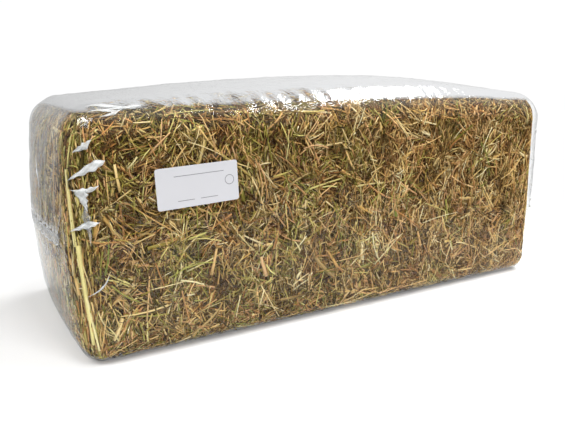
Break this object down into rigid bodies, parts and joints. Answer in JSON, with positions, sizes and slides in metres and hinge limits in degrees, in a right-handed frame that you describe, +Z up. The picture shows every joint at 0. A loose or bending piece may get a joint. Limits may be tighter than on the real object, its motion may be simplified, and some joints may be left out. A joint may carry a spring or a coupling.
{
  "type": "square hay bale",
  "caption": "Pressed block of meadow hay in a taut clear film wrap, with a small blank paper label on its front.",
  "frame": {"origin": "on the floor, under the middle of the bale", "axes": "+X along the bale, towards the end where the wrap is slack; -Y towards the labelled front; +Z up"},
  "size_m": [0.8208, 0.3305, 0.3399],
  "materials": {
    "hay": "matt, rough, mixed tan and olive",
    "film": "clear, glossy, slightly wrinkled",
    "label": "smooth, matt"
  },
  "bodies": {
    "root": {"flake_1": "hay", "flake_2": "hay", "flake_3": "hay", "flake_4": "hay", "flake_5": "hay", "flake_6": "hay", "flake_7": "hay", "flake_8": "hay", "flake_9": "hay", "film": "film", "label": "label"}
  },
  "joints": []
}
